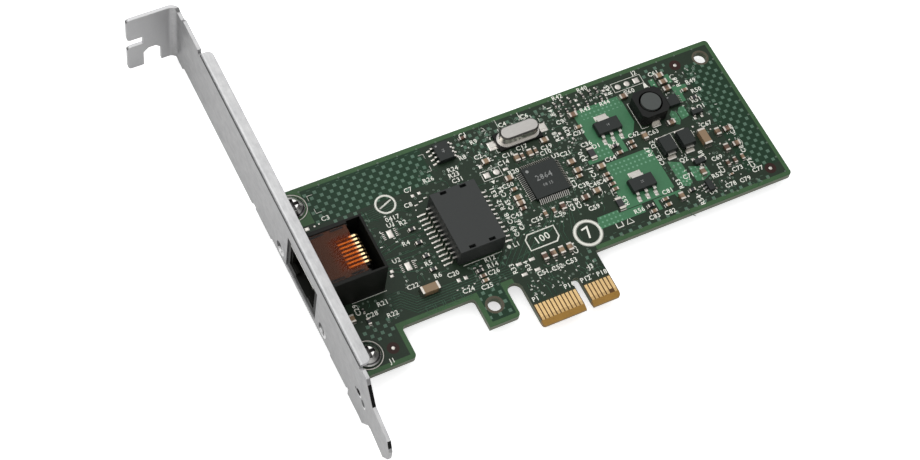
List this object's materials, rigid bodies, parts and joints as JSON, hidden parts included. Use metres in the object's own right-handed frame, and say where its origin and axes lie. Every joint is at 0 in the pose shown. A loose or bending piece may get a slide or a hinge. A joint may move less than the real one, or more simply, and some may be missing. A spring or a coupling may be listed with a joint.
{
  "type": "network interface card",
  "caption": "Network interface card: a green board with a gold card edge, a network jack, a full-height steel mounting bracket, a square controller chip and small supply parts.",
  "frame": {"origin": "middle of the key notch on the contact edge, halfway through the board's thickness", "axes": "+X runs along the board away from the bracket, +Y from the contact edge to the board's upper edge, +Z out of the component side"},
  "size_m": [0.1341, 0.1203, 0.0205],
  "materials": {
    "amber_film": "clear amber film",
    "black_nylon": "moulded, satin black",
    "capacitor_tan": "fired ceramic",
    "carrier_nylon": "moulded, satin black",
    "copper_wire": "enamelled copper",
    "epoxy_black": "moulded epoxy, fine matt",
    "ferrite": "dark ferrite",
    "ferrite_core": "ground ferrite",
    "gold": "gold plated copper",
    "lamp_lens": "clear moulded",
    "lamp_plastic": "white moulded",
    "nickel_can": "drawn nickel plated can",
    "resistor_black": "glazed alumina",
    "screw_steel": "nickel plated steel",
    "solder_mask": "green coated glass laminate",
    "tin": "tinned leads",
    "zinc_steel": "zinc plated sheet steel"
  },
  "bodies": {
    "root": {"bracket": "zinc_steel", "bracket_screws": "screw_steel", "capacitor_ends": "tin", "capacitors": "capacitor_tan", "circuit_board": "solder_mask", "controller_body": "epoxy_black", "controller_leads": "tin", "crystal_base": "black_nylon", "crystal_can": "nickel_can", "crystal_leads": "tin", "diode_bodies": "epoxy_black", "diode_leads": "tin", "edge_contacts_back": "gold", "edge_contacts_front": "gold", "inductor_clips": "tin", "inductor_core": "ferrite_core", "inductor_sleeve": "ferrite", "inductor_winding": "copper_wire", "jack_contact_carrier": "carrier_nylon", "jack_contacts": "gold", "jack_film": "amber_film", "jack_housing": "black_nylon", "lamp_bodies": "lamp_plastic", "lamp_lenses": "lamp_lens", "line_capacitor_ends": "tin", "line_capacitors": "capacitor_tan", "memory_body": "epoxy_black", "memory_leads": "tin", "regulator_lower_body": "epoxy_black", "regulator_lower_leads": "tin", "regulator_lower_tab": "tin", "regulator_upper_body": "epoxy_black", "regulator_upper_leads": "tin", "regulator_upper_tab": "tin", "reset_body": "epoxy_black", "reset_leads": "tin", "resistor_ends": "tin", "resistors": "resistor_black", "second_transistor_body": "epoxy_black", "second_transistor_leads": "tin", "switch_body": "epoxy_black", "switch_leads": "tin", "transformer_body": "epoxy_black", "transformer_leads": "tin", "transistor_body": "epoxy_black", "transistor_leads": "tin"}
  },
  "joints": []
}
